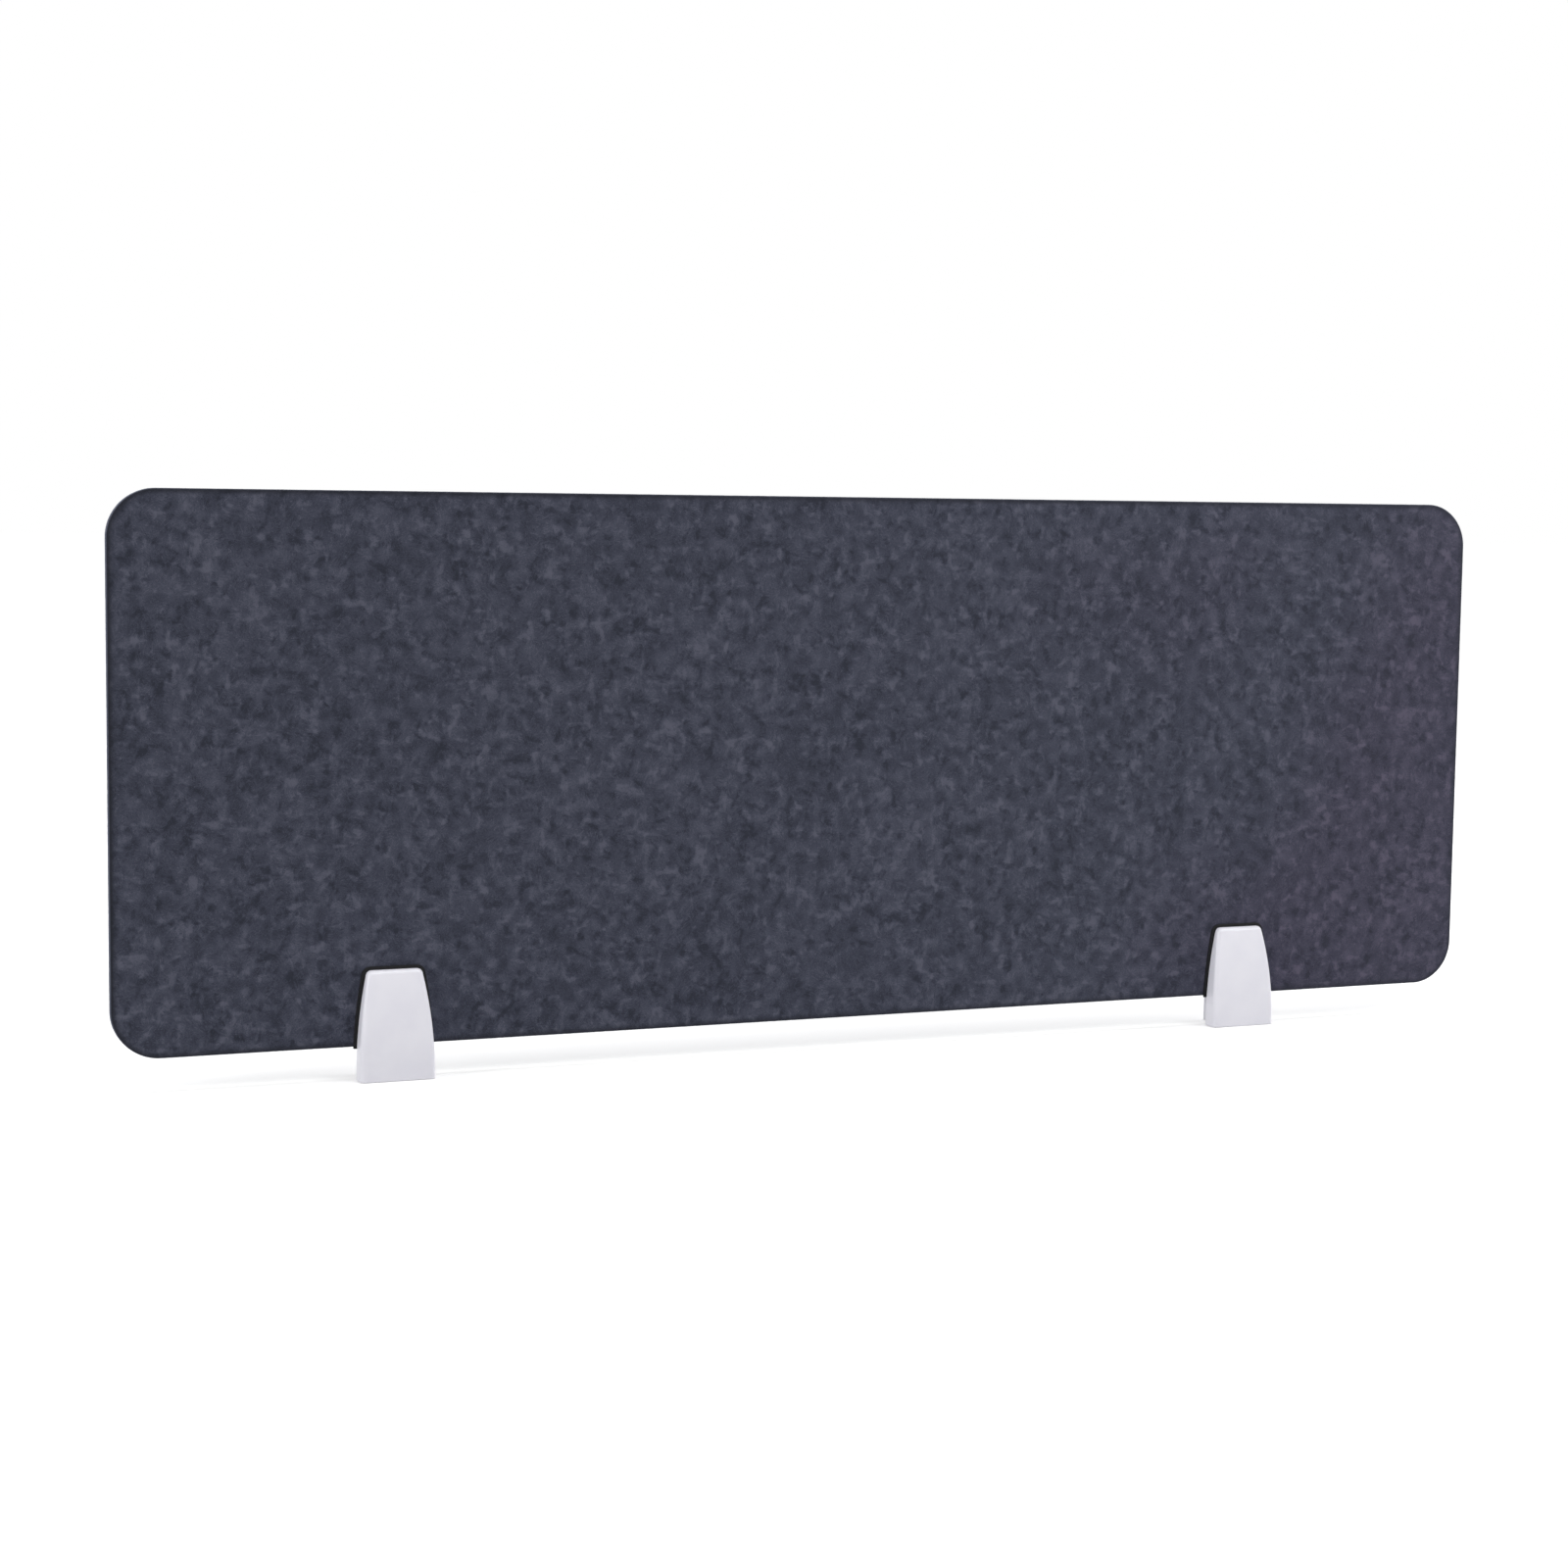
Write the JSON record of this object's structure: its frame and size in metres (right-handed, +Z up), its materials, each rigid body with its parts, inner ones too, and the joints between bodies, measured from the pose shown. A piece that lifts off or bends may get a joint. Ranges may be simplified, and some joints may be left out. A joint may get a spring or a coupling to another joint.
{
  "type": "desk privacy panel",
  "caption": "Upright felt board that screens a desk, held along its lower edge by white tapered brackets that clamp it and stand on the desk top.",
  "frame": {"origin": "on the desk top, under the middle of the board", "axes": "+X along the board to the user's right, +Y away from the user, +Z up"},
  "size_m": [1.2, 0.041, 0.456],
  "materials": {
    "felt": "pressed felt, heathered dark grey-blue",
    "powder_coat": "satin white powder coat",
    "liner_rubber": "matt black",
    "foot_rubber": "matt dark grey",
    "plate_steel": "zinc plated",
    "screw_steel": "black oxide"
  },
  "bodies": {
    "panel": {"panel_board": "felt"},
    "left_bracket": {"left_bracket_body": "powder_coat", "left_slot_liner": "liner_rubber", "left_base_pad": "foot_rubber"},
    "left_plate": {"left_pressure_plate": "plate_steel", "left_plate_pad": "liner_rubber"},
    "left_lower_screw": {"left_lower_screw": "screw_steel"},
    "left_upper_screw": {"left_upper_screw": "screw_steel"},
    "right_bracket": {"right_bracket_body": "powder_coat", "right_slot_liner": "liner_rubber", "right_base_pad": "foot_rubber"},
    "right_plate": {"right_pressure_plate": "plate_steel", "right_plate_pad": "liner_rubber"},
    "right_lower_screw": {"right_lower_screw": "screw_steel"},
    "right_upper_screw": {"right_upper_screw": "screw_steel"}
  },
  "joints": [
    {"name": "left_bracket_slide", "type": "slide", "parent": "panel", "child": "left_bracket", "axis": [-1, 0, 0], "range_m": [-0.23, 0.15]},
    {"name": "left_plate_slide", "type": "slide", "parent": "left_bracket", "child": "left_plate", "axis": [0, 1, 0], "range_m": [0, 0.0025]},
    {"name": "left_lower_screw_turn", "type": "hinge", "parent": "left_plate", "child": "left_lower_screw", "pos_m": [-0.3825, 0.013, 0.04365], "axis": [0, 1, 0], "range_deg": [0, 900]},
    {"name": "left_upper_screw_turn", "type": "hinge", "parent": "left_plate", "child": "left_upper_screw", "pos_m": [-0.3825, 0.013, 0.06565], "axis": [0, 1, 0], "range_deg": [0, 900]},
    {"name": "right_bracket_slide", "type": "slide", "parent": "panel", "child": "right_bracket", "axis": [1, 0, 0], "range_m": [-0.23, 0.15]},
    {"name": "right_plate_slide", "type": "slide", "parent": "right_bracket", "child": "right_plate", "axis": [0, 1, 0], "range_m": [0, 0.0025]},
    {"name": "right_lower_screw_turn", "type": "hinge", "parent": "right_plate", "child": "right_lower_screw", "pos_m": [0.3755, 0.013, 0.04365], "axis": [0, 1, 0], "range_deg": [0, 900]},
    {"name": "right_upper_screw_turn", "type": "hinge", "parent": "right_plate", "child": "right_upper_screw", "pos_m": [0.3755, 0.013, 0.06565], "axis": [0, 1, 0], "range_deg": [0, 900]}
  ],
  "couplings": [
    {"joint": "left_lower_screw_turn", "follows": "left_plate_slide", "rad_per_m": 6283.2},
    {"joint": "left_upper_screw_turn", "follows": "left_plate_slide", "rad_per_m": 6283.2},
    {"joint": "right_lower_screw_turn", "follows": "right_plate_slide", "rad_per_m": 6283.2},
    {"joint": "right_upper_screw_turn", "follows": "right_plate_slide", "rad_per_m": 6283.2}
  ]
}
